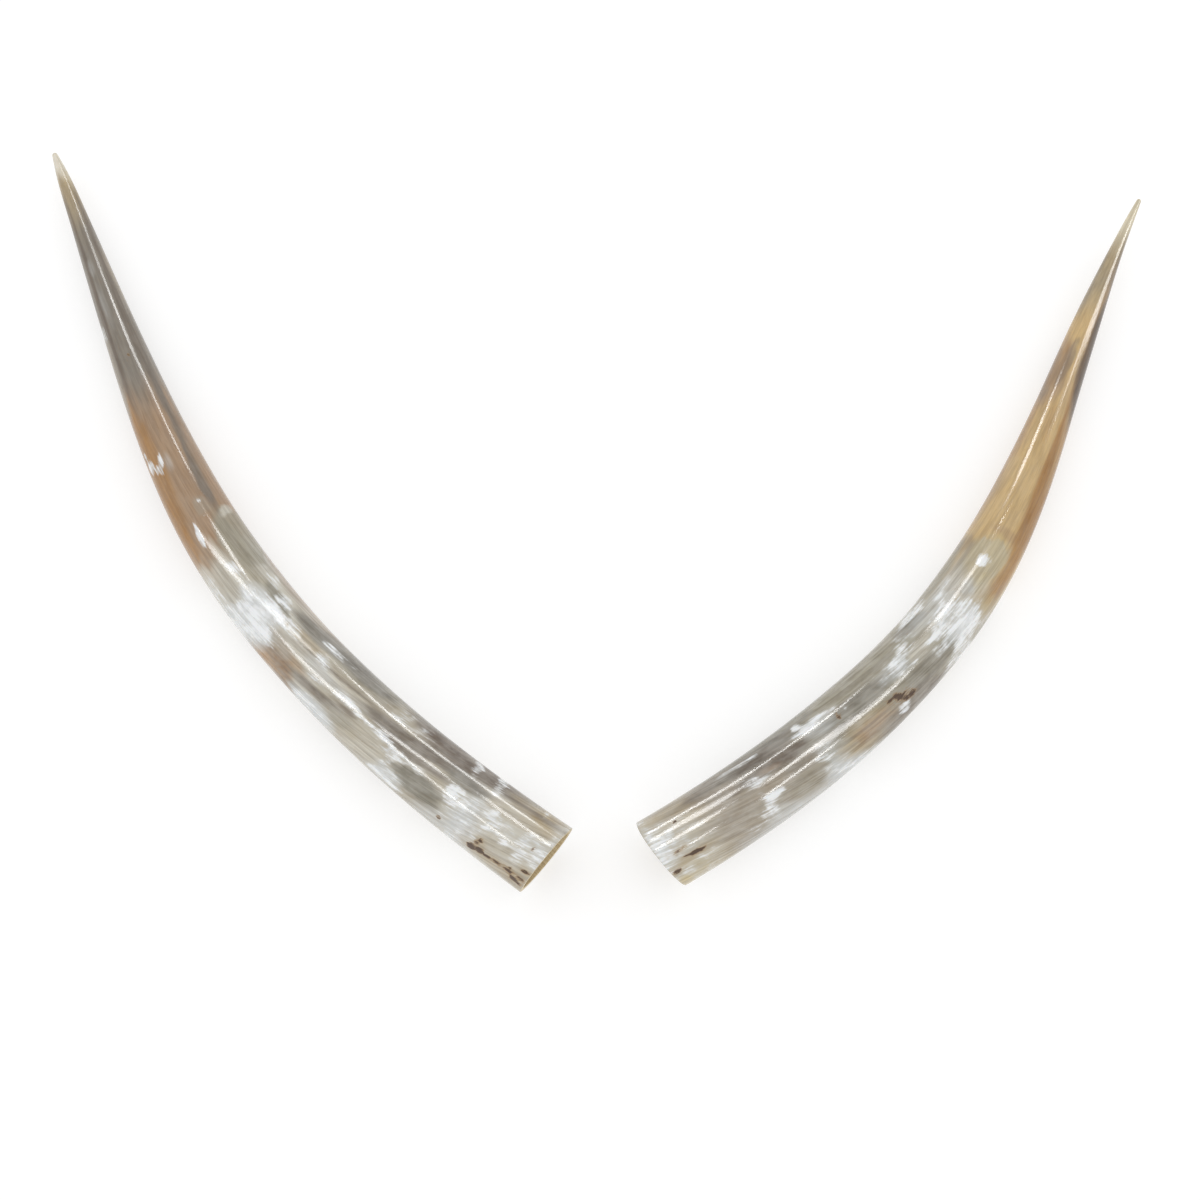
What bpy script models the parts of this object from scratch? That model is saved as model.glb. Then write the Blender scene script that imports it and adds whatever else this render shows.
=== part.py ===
"""A pair of polished cow horns, lying as a V on a level surface with their sawn bases together.

Each horn is one grown sheath of keratin. Its centre line is set by a heading at a few distances
from the base, its outline by a half width at the same places. The base is sawn off flat and opens
into the blind, tapering hollow that the bony core left.
"""
import math

import bmesh
import bpy
import numpy as np
from mathutils import Vector

# Driving dimensions, in metres and degrees. Distances run along the centre line from the base.
# Headings are directions on the surface, measured from +X towards +Y.
# A station is (distance, heading, half width).
HORNS = {
    "horn_left": {
        "base_centre": (-0.0440, -0.3435),
        "stations": (
            (0.000, 144.8, 0.0380),
            (0.100, 142.0, 0.0365),
            (0.200, 137.8, 0.0348),
            (0.300, 132.6, 0.0331),
            (0.400, 126.1, 0.0321),
            (0.500, 118.4, 0.0287),
            (0.600, 113.8, 0.0231),
            (0.700, 111.9, 0.0167),
            (0.800, 111.5, 0.0106),
            (0.870, 112.2, 0.0056),
            (0.892, 112.4, 0.0026),
        ),
        "cut_heading": -39.4,
        "cut_pitch": -2.5,
        "hollow_depth": 0.420,
        "tip_lift": 0.018,
        "lobe_turn": 20.0,
        "colour": (0.42, 0.36, 0.29, 1.0),
    },
    "horn_right": {
        "base_centre": (0.0624, -0.3372),
        "stations": (
            (0.000, 30.6, 0.0366),
            (0.100, 34.8, 0.0366),
            (0.200, 40.4, 0.0357),
            (0.300, 47.2, 0.0334),
            (0.400, 56.6, 0.0314),
            (0.500, 64.4, 0.0262),
            (0.600, 68.0, 0.0193),
            (0.700, 67.2, 0.0130),
            (0.780, 65.4, 0.0066),
            (0.820, 64.0, 0.0036),
            (0.836, 63.5, 0.0022),
        ),
        "cut_heading": 216.5,
        "cut_pitch": -16.0,
        "hollow_depth": 0.390,
        "tip_lift": 0.024,
        "lobe_turn": 155.0,
        "colour": (0.50, 0.41, 0.29, 1.0),
    },
}
WALL = 0.0055            # thickness of the sheath at the sawn base
OVAL_BASE = 0.94         # height of the section over its width at the base; round at the tip
LOBES = 3                # the worn flats around a section
LOBE_HEIGHT = 0.012      # how far the lobes depart from the oval, over the half width
LOBE_SPIRAL = 70.0       # degrees that the lobes turn from base to tip
LIFT_START = 0.45        # share of the length after which the horn leaves the surface
CUT_FADE = 0.070         # the slant of the sawn end dies out over this distance
SIDES = 32               # faces around a section
OUTER_RINGS = 46         # sections along the outside
HOLLOW_RINGS = 16        # sections along the hollow
HEADING_STEP = 0.002     # step of the walk along the centre line
HOLLOW_CURVE = 2.6       # how late the hollow closes: higher keeps it open further in
HOLLOW_BLUNTNESS = 0.8   # 1 closes the hollow to a sharper point, less to a blunter one
RING_CROWDING = 1.15     # above 1, sections stand closer together towards the tip
TIP_ROUNDS = 3           # rings that round the tip off
RIM_EDGE_ANGLE = 40.0    # edges sharper than this stay crisp when the surface is shaded
ROUGHNESS = 0.18         # a buffed finish


def clear_scene():
    for old in list(bpy.data.objects):
        bpy.data.objects.remove(old, do_unlink=True)


def smooth_value(distance, places, values):
    """Read a smooth curve through the stations: cubic pieces that share their slopes."""
    slopes = np.gradient(values, places)
    last = len(places) - 2
    k = int(np.clip(np.searchsorted(places, distance, side="right") - 1, 0, last))
    span = places[k + 1] - places[k]
    t = (distance - places[k]) / span
    start = (2 * t**3 - 3 * t**2 + 1) * values[k] + (t**3 - 2 * t**2 + t) * span * slopes[k]
    end = (3 * t**2 - 2 * t**3) * values[k + 1] + (t**3 - t**2) * span * slopes[k + 1]
    return start + end


class CentreLine:
    """The line through the middle of a horn, with its section at any distance from the base."""

    def __init__(self, horn):
        self.horn = horn
        self.places, self.headings, self.widths = np.array(horn["stations"]).T
        self.length = self.places[-1]
        self.walk = self.walk_headings()

    def walk_headings(self):
        """Step along the headings from the base and note x and y at each step."""
        steps = int(round(self.length / HEADING_STEP))
        step = self.length / steps
        x, y = self.horn["base_centre"]
        points = [(x, y)]
        for i in range(steps):
            turn = math.radians(smooth_value((i + 0.5) * step, self.places, self.headings))
            x += step * math.cos(turn)
            y += step * math.sin(turn)
            points.append((x, y))
        return np.array(points)

    def half_width(self, distance):
        return smooth_value(distance, self.places, self.widths)

    def half_height(self, distance):
        share = distance / self.length
        return self.half_width(distance) * (OVAL_BASE + (1.0 - OVAL_BASE) * share)

    def point(self, distance):
        """The underside lies on the surface, and lifts from it towards the tip."""
        along = np.linspace(0.0, self.length, len(self.walk))
        x = np.interp(distance, along, self.walk[:, 0])
        y = np.interp(distance, along, self.walk[:, 1])
        rise = max(distance / self.length - LIFT_START, 0.0) / (1.0 - LIFT_START)
        return Vector((x, y, self.drop(distance) + self.horn["tip_lift"] * rise**2))

    def lobe(self, angle, distance):
        """How much wider or narrower than the oval the section is in one direction."""
        turn = math.radians(self.horn["lobe_turn"] + LOBE_SPIRAL * distance / self.length)
        return 1.0 + LOBE_HEIGHT * math.cos(LOBES * (angle - turn))

    def drop(self, distance):
        """How far the underside is below the centre."""
        angles = [2.0 * math.pi * i / SIDES for i in range(SIDES)]
        return self.half_height(distance) * max(-math.sin(a) * self.lobe(a, distance) for a in angles)

    def axes(self, distance):
        """Directions along the horn, level to its left, and up across it."""
        near = max(distance - HEADING_STEP, 0.0)
        far = min(distance + HEADING_STEP, self.length)
        along = (self.point(far) - self.point(near)).normalized()
        left = Vector((0, 0, 1)).cross(along).normalized()
        return along, left, along.cross(left)

    def section(self, distance, scale=1.0, inset=0.0):
        """Points around one section, counter-clockwise seen from the tip."""
        centre = self.point(distance)
        along, left, up = self.axes(distance)
        width = self.half_width(distance) - inset
        height = self.half_height(distance) - inset
        points = []
        for i in range(SIDES):
            angle = 2.0 * math.pi * i / SIDES
            side = left * (width * math.cos(angle))
            rise = up * (height * math.sin(angle))
            points.append(centre + (side + rise) * (self.lobe(angle, distance) * scale))
        return points


def cut_normal(horn):
    """The direction that the sawn end faces."""
    heading = math.radians(horn["cut_heading"])
    pitch = math.radians(horn["cut_pitch"])
    level = math.cos(pitch)
    return Vector((level * math.cos(heading), level * math.sin(heading), math.sin(pitch)))


def slant_to_cut(line, ring, distance):
    """Slide a ring's points along the horn so that the first ring lies in the plane of the saw cut."""
    along = line.axes(0.0)[0]
    base = line.point(0.0)
    normal = cut_normal(line.horn)
    keep = max(1.0 - distance / CUT_FADE, 0.0)
    slanted = []
    for point in ring:
        offset = point - base
        depth = offset.dot(along)
        across = offset - along * depth
        slide = -across.dot(normal) / along.dot(normal)
        slanted.append(point + along * (slide * keep))
    return slanted


def outer_rings(line):
    """Sections of the outside from the base to the tip, closer together where the tip narrows."""
    rings = []
    tip_radius = line.widths[-1]
    body_length = line.length - tip_radius
    for i in range(OUTER_RINGS):
        share = i / (OUTER_RINGS - 1)
        distance = body_length * (1.0 - (1.0 - share) ** RING_CROWDING)
        rings.append(slant_to_cut(line, line.section(distance), distance))
    for i in range(1, TIP_ROUNDS):
        angle = 0.5 * math.pi * i / TIP_ROUNDS
        distance = body_length + tip_radius * math.sin(angle)
        rings.append(line.section(distance, scale=math.cos(angle)))
    return rings


def hollow_rings(line):
    """Sections of the hollow from the base inwards, closing to a blunt point."""
    rings = []
    depth = line.horn["hollow_depth"]
    for i in range(HOLLOW_RINGS):
        share = math.sin(0.5 * math.pi * i / HOLLOW_RINGS)
        scale = (1.0 - share**HOLLOW_CURVE) ** HOLLOW_BLUNTNESS
        ring = line.section(depth * share, scale=scale, inset=WALL)
        rings.append(slant_to_cut(line, ring, depth * share))
    return rings


def bridge(mesh, first, second):
    """Join two rings of vertices with a band of faces."""
    band = []
    for i in range(SIDES):
        j = (i + 1) % SIDES
        band.append(mesh.faces.new((first[i], first[j], second[j], second[i])))
    return band


def close_ring(mesh, ring, tip):
    """Close a ring with a fan of faces to a point."""
    for i in range(SIDES):
        mesh.faces.new((ring[i], ring[(i + 1) % SIDES], tip))


def keratin(name, colour):
    """Polished horn: warm, half clear, with the gloss of a buffed finish."""
    material = bpy.data.materials.new(name)
    material.use_nodes = True
    shader = material.node_tree.nodes["Principled BSDF"]
    shader.inputs["Base Color"].default_value = colour
    shader.inputs["Roughness"].default_value = ROUGHNESS
    shader.inputs["Metallic"].default_value = 0.0
    return material


def make_horn(name, horn):
    """Skin the outside, the sawn rim and the hollow as one closed sheath."""
    line = CentreLine(horn)
    mesh = bmesh.new()
    outside = [[mesh.verts.new(p) for p in ring] for ring in outer_rings(line)]
    hollow = [[mesh.verts.new(p) for p in ring] for ring in hollow_rings(line)]
    for first, second in zip(outside, outside[1:]):
        bridge(mesh, first, second)
    for first, second in zip(hollow, hollow[1:]):
        bridge(mesh, second, first)
    rim = bridge(mesh, hollow[0], outside[0])
    close_ring(mesh, outside[-1], mesh.verts.new(line.point(line.length)))
    close_ring(mesh, hollow[-1][::-1], mesh.verts.new(line.point(horn["hollow_depth"])))
    data = bpy.data.meshes.new(name)
    for face in mesh.faces:
        face.smooth = face not in rim
    bmesh.ops.recalc_face_normals(mesh, faces=mesh.faces)
    mesh.to_mesh(data)
    mesh.free()
    data.set_sharp_from_angle(angle=math.radians(RIM_EDGE_ANGLE))
    data.materials.append(keratin(name + "_keratin", horn["colour"]))
    result = bpy.data.objects.new(name, data)
    bpy.context.scene.collection.objects.link(result)
    return result


clear_scene()
for horn_name, horn_sizes in HORNS.items():
    make_horn(horn_name, horn_sizes)
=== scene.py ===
import itertools
import math

import bpy
import numpy as np
from mathutils import Matrix, Vector


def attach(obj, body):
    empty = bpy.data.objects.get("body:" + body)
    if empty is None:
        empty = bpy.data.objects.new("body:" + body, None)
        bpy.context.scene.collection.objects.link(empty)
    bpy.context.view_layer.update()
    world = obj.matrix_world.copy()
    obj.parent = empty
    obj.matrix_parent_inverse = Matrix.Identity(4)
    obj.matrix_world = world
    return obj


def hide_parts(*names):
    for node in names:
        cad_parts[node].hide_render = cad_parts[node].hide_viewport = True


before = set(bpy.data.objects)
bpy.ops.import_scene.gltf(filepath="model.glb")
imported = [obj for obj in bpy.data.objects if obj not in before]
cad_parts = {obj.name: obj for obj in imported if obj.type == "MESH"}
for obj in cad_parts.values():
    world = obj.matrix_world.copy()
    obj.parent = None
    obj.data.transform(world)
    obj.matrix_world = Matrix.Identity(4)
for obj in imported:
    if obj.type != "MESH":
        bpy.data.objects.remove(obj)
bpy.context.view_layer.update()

# A pair of polished cow horns: the fine surface, the grown colouring and the buffed finish.
# Metres and degrees unless a name says otherwise. Distances run along a horn from its sawn base.
# "Across" is a share of the half width seen from above: -1 at the left edge of the horn as one
# walks from base to tip, 0 along the top, 1 at the right edge.

# A station is (distance, heading, half width), as in the horn's solid.
HORNS = {
    "horn_left": {
        "base_centre": (-0.0440, -0.3435),
        "stations": (
            (0.000, 144.8, 0.0380),
            (0.100, 142.0, 0.0365),
            (0.200, 137.8, 0.0348),
            (0.300, 132.6, 0.0331),
            (0.400, 126.1, 0.0321),
            (0.500, 118.4, 0.0287),
            (0.600, 113.8, 0.0231),
            (0.700, 111.9, 0.0167),
            (0.800, 111.5, 0.0106),
            (0.870, 112.2, 0.0056),
            (0.892, 112.4, 0.0026),
        ),
        "cut_heading": -39.4,
        "cut_pitch": -2.5,
        "hollow_depth": 0.420,
        "tip_lift": 0.018,
        "lobe_turn": 20.0,
        "slot": "polished_horn_left",
        "fibre_turn": -95.0,     # degrees that the fibres turn around the horn
        "lean": -6.6,            # degrees that the marks over the base are turned, as they show from above
        "seed": 3,
    },
    "horn_right": {
        "base_centre": (0.0624, -0.3372),
        "stations": (
            (0.000, 30.6, 0.0366),
            (0.100, 34.8, 0.0366),
            (0.200, 40.4, 0.0357),
            (0.300, 47.2, 0.0334),
            (0.400, 56.6, 0.0314),
            (0.500, 64.4, 0.0262),
            (0.600, 68.0, 0.0193),
            (0.700, 67.2, 0.0130),
            (0.780, 65.4, 0.0066),
            (0.820, 64.0, 0.0036),
            (0.836, 63.5, 0.0022),
        ),
        "cut_heading": 216.5,
        "cut_pitch": -16.0,
        "hollow_depth": 0.390,
        "tip_lift": 0.024,
        "lobe_turn": 155.0,
        "slot": "polished_horn_right",
        "fibre_turn": 95.0,
        "lean": 7.0,
        "seed": 8,
    },
}
WALL = 0.0055            # thickness of the sheath at the sawn base
OVAL_BASE = 0.94         # height of the section over its width at the base; round at the tip
LOBES = 3                # the worn flats around a section
LOBE_HEIGHT = 0.012      # how far the lobes depart from the oval, over the half width
LOBE_SPIRAL = 70.0       # degrees that the lobes turn from base to tip
CORNERS = 32             # corners of the solid's sections
LIFT_START = 0.45        # share of the length after which the horn leaves the surface
CUT_FADE = 0.070         # the slant of the sawn end dies out over this distance
HOLLOW_CURVE = 2.6       # how late the hollow closes: higher keeps it open further in
HOLLOW_BLUNTNESS = 0.8   # 1 closes the hollow to a sharper point, less to a blunter one
HEADING_STEP = 0.002     # step of the walk along the centre line
MM = 1000.0              # millimetres in a metre

# The fine surface
SIDES = 168              # faces around a section
BODY_ROWS = 490          # sections along the outside
TIP_ROWS = 7             # sections that round the tip off
HOLLOW_ROWS = 54         # sections along the hollow
RIM_EDGE = 0.0006        # how far the sawn rim's edges are eased
RIM_BEND = (0.3, 0.2)    # the middle of the eased edge: from the cut and from the side, over RIM_EDGE
RIM_FLAT = 0.8           # where the flat of the rim begins, over RIM_EDGE
RIM_ROWS = 5             # sections across the flat of the rim
OUTSIDE, RIM, HOLLOW = 0, 1, 2    # the roles of a section
OUTSIDE_LIMIT = 0.5      # a section below it is outside
RIM_LIMIT = 0.6          # a face above it is on the rim, its role being the mean of its corners'
HOLLOW_LIMIT = 1.2       # and one above this is in the hollow
FLUTE_DEPTH = 0.00016    # lengthwise flutes that the buffing left
FLUTE_WIDTH = 0.011      # from one flute to the next, around the horn
FLUTE_LENGTH = 0.240     # how far a flute runs before it fades into the next
WAVE_DEPTH = 0.00012     # slow waves left by scraping
WAVE_LENGTH = 0.045
FLUTE_SHIFT, WAVE_SHIFT = 0.0, 5.0    # added to a horn's seed, so that the two differ
WIDEST = 0.038           # flutes and waves are as deep as given where this is the half width
FLUTE_START = 0.012      # the flutes begin this far from the sawn end
SEAM_GAP = 0.000003      # points closer than this are one point
SKIN_INSET = 0.0001      # what polishing took off the solid
FIBRE_EASE = 0.45        # the fibres turn ever less over this distance
FIBRE_REACH = 0.9        # and have made their full turn here
LATTICE_VALUES = 4096    # random values that the noise under the marks draws on
LATTICE_STRIDES = (73, 1259, 7919)    # how far apart neighbours along each axis are in them

# The colours that the grown keratin shows in daylight
PALETTE = {
    "cream": "#cdc9bd",      # the young, cloudy horn by the skull
    "frost": "#d3d6d6",
    "sand": "#bdb6a6",
    "wheat": "#c8b88c",
    "tan": "#b3a283",
    "clear": "#ccb081",
    "fawn": "#a99f90",
    "moss": "#a19c8c",
    "olive": "#8c897d",
    "slate": "#86837c",
    "umber": "#7f766c",
    "bark": "#6d6055",
    "amber": "#ab8252",
    "toffee": "#9c7443",
    "honey": "#a98f75",
    "rose": "#b3a192",
    "smoke": "#8b847a",
    "straw": "#d9cfb6",
    "ivory": "#e6e0d2",
}

# How the ground colour runs from base to tip: (distance in mm, colour).
LEFT_GROUND = (
    (0, "cream"), (60, "cream"), (120, "sand"), (260, "sand"), (330, "cream"), (400, "sand"),
    (450, "honey"), (590, "honey"), (640, "smoke"), (800, "smoke"), (856, "tan"), (878, "ivory"),
    (892, "ivory"),
)
RIGHT_GROUND = (
    (0, "cream"), (40, "sand"), (70, "fawn"), (180, "moss"), (300, "moss"), (370, "sand"),
    (425, "clear"), (690, "clear"), (730, "tan"), (765, "tan"), (800, "straw"), (836, "straw"),
)

# How milky the ground is along the horn: distances in mm, then shares.
LEFT_MILK = ((0, 20, 100, 125, 330, 400, 430), (0.30, 0.40, 0.34, 0.08, 0.12, 0.14, 0.0))
RIGHT_MILK = ((0, 12, 36, 56, 260, 400, 415), (0.34, 0.42, 0.30, 0.08, 0.12, 0.14, 0.0))

# A mark is (from, to, across from, across to, drift, what, strength, softness). From and to are in
# mm from the base. Beyond 1 or -1 the underside begins, and 2 is its middle. Drift is how far the
# mark moves across from its start to its end. "milk" is white that lies in the horn, though two milk
# marks are wholly or partly painted highlight. "pit" is a brown fleck where the living skin was
# rooted, and the rest are colours, one bark mark being partly painted shade. Later marks lie on top.
LEFT_MARKS = (
    # cream end with its brown flecks
    (0, 70, -1.3, -0.55, 0, "cream", 0.7, 0.5),
    (5, 60, 0.55, 1.2, -0.08, "tan", 0.75, 0.3),
    (3, 48, 0.38, 0.74, -0.04, "tan", 0.6, 0.4),
    # white band by the sawn end: partly milk in the horn, partly painted highlight where the bright lines fan
    # out
    (2, 16, -0.35, 0.24, 0, "milk", 0.7, 0.5),
    (0, 40, -0.95, -0.3, 0, "sand", 0.6, 0.6),
    (0, 24, -1.1, -0.62, 0, "tan", 0.45, 0.5),
    (26, 66, -0.62, -0.22, 0, "sand", 0.75, 0.5),
    (24, 86, 0.2, 0.62, -0.05, "sand", 0.85, 0.4),
    (28, 74, 0.8, 1.3, 0, "smoke", 0.6, 0.3),
    (20, 29, -0.4, 0.3, 0, "milk", 0.6, 0.7),
    (38, 46, -0.5, -0.1, 0, "milk", 0.5, 0.7),
    (60, 69, -0.3, 0.32, 0, "milk", 0.75, 0.6),
    (70, 96, -1.1, 0.3, 0, "frost", 0.75, 0.5),
    (79, 95, -0.95, 0.28, 0, "milk", 0.5, 0.6),
    (98, 113, -0.6, 0.28, 0, "milk", 0.6, 0.5),
    # painted highlight: a bright white spot laid on as milk
    (104, 114, -0.16, 0.14, 0.05, "milk", 1, 0.35),
    (96, 130, -1, -0.6, 0, "frost", 0.7, 0.5),
    (2, 72, -0.92, -0.64, 0.02, "tan", 0.55, 0.5),
    (3, 16, -0.62, -0.44, 0, "tan", 0.55, 0.5),
    (54, 66, -0.72, -0.46, 0, "tan", 0.5, 0.5),
    (4, 44, -0.8, -0.68, 0, "pit", 0.42, 0.6),
    (5, 12, -0.88, -0.81, 0, "pit", 0.85, 0.4),
    (9, 20, -0.86, -0.77, 0.02, "pit", 1, 0.4),
    (5, 15, -0.75, -0.69, 0, "pit", 0.85, 0.4),
    (18, 29, -0.78, -0.7, 0.02, "pit", 0.95, 0.4),
    (21, 25, -0.7, -0.62, 0, "pit", 0.75, 0.5),
    (30, 44, -0.77, -0.71, -0.02, "pit", 0.62, 0.5),
    (41, 52, -0.8, -0.73, -0.03, "pit", 0.85, 0.5),
    (50, 61, -0.83, -0.71, 0, "pit", 1, 0.4),
    (60, 69, -0.87, -0.73, 0, "pit", 1, 0.4),
    (58, 64, -0.71, -0.6, 0, "pit", 0.8, 0.5),
    (57, 62, -0.61, -0.5, 0.03, "pit", 0.85, 0.45),
    (5, 14, -0.57, -0.49, -0.03, "pit", 0.95, 0.4),
    (14, 17, -0.02, 0.1, 0, "pit", 0.7, 0.5),
    (102, 107, -0.79, -0.69, 0, "pit", 0.68, 0.4),
    # the dark, clear windows between the clouds
    (110, 173, -0.7, -0.17, 0.03, "olive", 0.95, 0.22),
    (118, 150, -0.95, -0.62, 0, "slate", 0.15, 0.6),
    (112, 205, -0.1, 0.12, -0.14, "umber", 0.85, 0.3),
    (86, 175, 0.22, 0.56, -0.05, "slate", 0.75, 0.35),
    (120, 238, 0.08, 0.46, -0.22, "umber", 0.9, 0.22),
    (170, 230, 0, 0.3, -0.1, "smoke", 0.5, 0.4),
    (150, 188, -1, -0.6, 0, "frost", 0.6, 0.5),
    (150, 186, -0.9, -0.62, 0, "milk", 0.95, 0.5),
    (170, 188, -0.6, -0.2, 0, "milk", 0.6, 0.6),
    (150, 236, -0.26, -0.02, 0.08, "milk", 0.85, 0.5),
    (183, 218, -1.2, -0.2, 0, "cream", 0.75, 0.35),
    (217, 248, -0.72, -0.36, 0.05, "moss", 0.5, 0.4),
    (218, 262, -0.38, -0.14, -0.08, "smoke", 0.35, 0.4),
    (222, 250, -0.3, -0.18, -0.06, "bark", 0.55, 0.5),
    (238, 290, -1, -0.64, 0, "frost", 0.9, 0.4),
    (252, 290, -0.34, -0.16, 0, "milk", 0.45, 0.7),
    (236, 300, -0.6, -0.38, -0.22, "smoke", 0.65, 0.4),
    (234, 286, -1.05, -0.66, 0, "frost", 0.85, 0.4),
    (238, 280, -0.95, -0.72, 0, "milk", 0.58, 0.5),
    (255, 296, -0.6, -0.42, -0.1, "bark", 0.55, 0.5),
    (288, 347, -1.02, -0.42, 0.06, "amber", 0.82, 0.22),
    (290, 342, -0.82, -0.46, 0.08, "bark", 0.45, 0.4),
    (292, 322, -0.5, -0.24, 0.03, "amber", 0.45, 0.5),
    (312, 346, -0.52, -0.18, 0.05, "fawn", 0.75, 0.4),
    (280, 312, -1.1, -0.86, 0, "smoke", 0.6, 0.5),
    (218, 330, -0.1, 0.26, -0.1, "cream", 0.75, 0.4),
    (178, 206, -0.12, 0.02, 0.03, "milk", 0.5, 0.5),
    (222, 262, -0.14, 0.06, 0, "milk", 0.55, 0.5),
    (254, 302, -0.12, 0.12, -0.06, "frost", 0.6, 0.5),
    (290, 338, 0.1, 0.46, -0.15, "tan", 0.7, 0.4),
    (225, 330, 0.18, 0.25, -0.26, "bark", 0.6, 0.5),
    # the white belt
    (335, 402, -1.1, 0.3, -0.1, "frost", 0.9, 0.25),
    (338, 388, -0.75, 0.32, 0.12, "milk", 1, 0.25),
    (352, 426, -1.15, -0.62, 0.02, "milk", 0.6, 0.4),
    (326, 372, 0.05, 0.42, -0.05, "milk", 0.9, 0.35),
    (372, 424, -0.3, 0.16, -0.12, "milk", 0.62, 0.5),
    (385, 428, -0.62, -0.24, 0, "cream", 0.8, 0.5),
    (396, 448, -0.24, 0.04, -0.1, "cream", 0.75, 0.5),
    (374, 470, 0.26, 0.72, -0.06, "moss", 0.7, 0.35),
    (344, 380, 0.3, 0.62, 0.1, "olive", 0.95, 0.35),
    (350, 424, 0.58, 1, -0.05, "cream", 0.9, 0.5),
    (384, 428, 0.6, 1, -0.05, "frost", 0.45, 0.5),
    (345, 364, 0.42, 0.78, -0.22, "milk", 0.9, 0.4),
    (364, 388, 0.62, 0.85, -0.05, "milk", 0.55, 0.6),
    # the far side of the base half
    (0, 105, 0.68, 0.8, -0.13, "bark", 0.62, 0.5),
    (60, 180, 0.64, 1.15, -0.08, "umber", 0.92, 0.25),
    (60, 184, 0.56, 1.02, -0.08, "bark", 0.86, 0.3),
    (82, 122, 0.22, 0.62, -0.04, "slate", 0.75, 0.35),
    (100, 160, 0.55, 0.7, -0.12, "bark", 0.45, 0.5),
    (70, 82, 0.66, 1.1, 0, "milk", 0.85, 0.35),
    (98, 107, 0.66, 0.98, 0, "milk", 0.72, 0.5),
    (22, 26, 0.8, 0.96, 0, "milk", 0.7, 0.5),
    (150, 176, 0.58, 0.84, -0.12, "milk", 0.34, 0.6),
    (181, 201, 0.5, 0.86, -0.1, "milk", 0.66, 0.4),
    (196, 290, 0.5, 1.25, -0.06, "moss", 0.95, 0.3),
    (212, 275, 0.6, 0.9, -0.08, "slate", 0.9, 0.4),
    (226, 304, 0.58, 1, -0.06, "slate", 0.88, 0.4),
    (272, 340, 0.46, 0.88, -0.16, "slate", 0.85, 0.3),
    (140, 262, 0.84, 1.6, 0, "slate", 0.6, 0.4),
    (264, 304, 0.6, 0.74, -0.12, "milk", 0.5, 0.5),
    (279, 295, 0.12, 0.42, 0.05, "milk", 0.75, 0.5),
    (280, 460, 0.88, 1.25, 0, "rose", 0.7, 0.4),
    # the amber middle
    (408, 462, -0.82, -0.42, 0.05, "honey", 0.75, 0.5),
    (436, 610, -1, -0.42, 0.04, "amber", 0.72, 0.25),
    (384, 430, -1.05, -0.02, -0.05, "cream", 0.75, 0.35),
    (386, 424, -0.2, 0.12, -0.1, "milk", 0.45, 0.5),
    (392, 424, -1, -0.66, 0, "milk", 0.4, 0.5),
    (455, 520, -0.86, -0.66, 0.02, "amber", 0.85, 0.5),
    (545, 612, -0.82, -0.52, 0.03, "amber", 0.75, 0.5),
    (440, 566, -1.5, -0.88, 0, "toffee", 0.35, 0.5),
    (400, 471, 0.02, 1.05, 0, "moss", 0.8, 0.12),
    (461, 471, 0.5, 0.92, 0.03, "cream", 0.75, 0.35),
    (470, 492, -0.05, 0.4, 0, "fawn", 0.6, 0.3),
    (448, 472, -0.41, -0.26, 0.08, "milk", 0.88, 0.35),
    (470.5, 473.5, 0, 0.24, 0, "milk", 0.7, 0.5),
    (487, 490.5, 0.02, 0.24, 0, "milk", 0.6, 0.5),
    (534, 548, -0.92, -0.66, 0, "milk", 0.95, 0.4),
    (547, 556, -0.9, -0.8, -0.03, "milk", 0.85, 0.45),
    (531, 540, -0.72, -0.46, 0, "milk", 0.98, 0.35),
    (526, 536, -0.56, -0.46, 0, "milk", 0.85, 0.4),
    (534, 550, -0.5, -0.3, 0.08, "milk", 1, 0.35),
    (528, 545, -0.28, -0.08, 0, "frost", 0.3, 0.7),
    # the smoky length and the dark band beside it
    (471, 560, 0.42, 0.68, 0.05, "umber", 0.9, 0.3),
    (520, 832, 0.48, 0.84, 0.04, "umber", 0.95, 0.35),
    (700, 775, 0.74, 1.2, 0, "fawn", 0.8, 0.4),
    (471, 600, 0.7, 1.3, 0.05, "honey", 0.8, 0.35),
    (560, 700, 0.85, 1.3, 0, "smoke", 0.5, 0.5),
    (596, 700, -1.2, -0.78, 0, "fawn", 0.75, 0.4),
    (598, 840, -0.72, -0.46, 0.05, "bark", 0.6, 0.5),
    (620, 735, -0.66, -0.5, 0.06, "bark", 0.45, 0.5),
    (604, 780, -0.45, 0.3, 0, "smoke", 0.8, 0.4),
    (679, 697, -1.1, -0.8, 0, "milk", 0.85, 0.4),
    (698, 735, -0.5, -0.1, 0, "frost", 0.22, 0.7),
    (752, 768, -0.5, -0.15, 0, "frost", 0.25, 0.6),
    (656, 660, -0.08, 0.08, 0, "pit", 0.7, 0.4),
    (800, 862, -0.9, 0.3, 0, "tan", 0.35, 0.6),
    (790, 828, 0.55, 1.1, 0, "bark", 0.3, 0.5),
    (800, 852, -1.1, -0.5, 0, "bark", 0.4, 0.5),
    (852, 905, 0.15, 1.2, 0, "straw", 0.7, 0.4),
    (874, 905, -1.2, 1.2, 0, "ivory", 0.6, 0.6),
)
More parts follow.
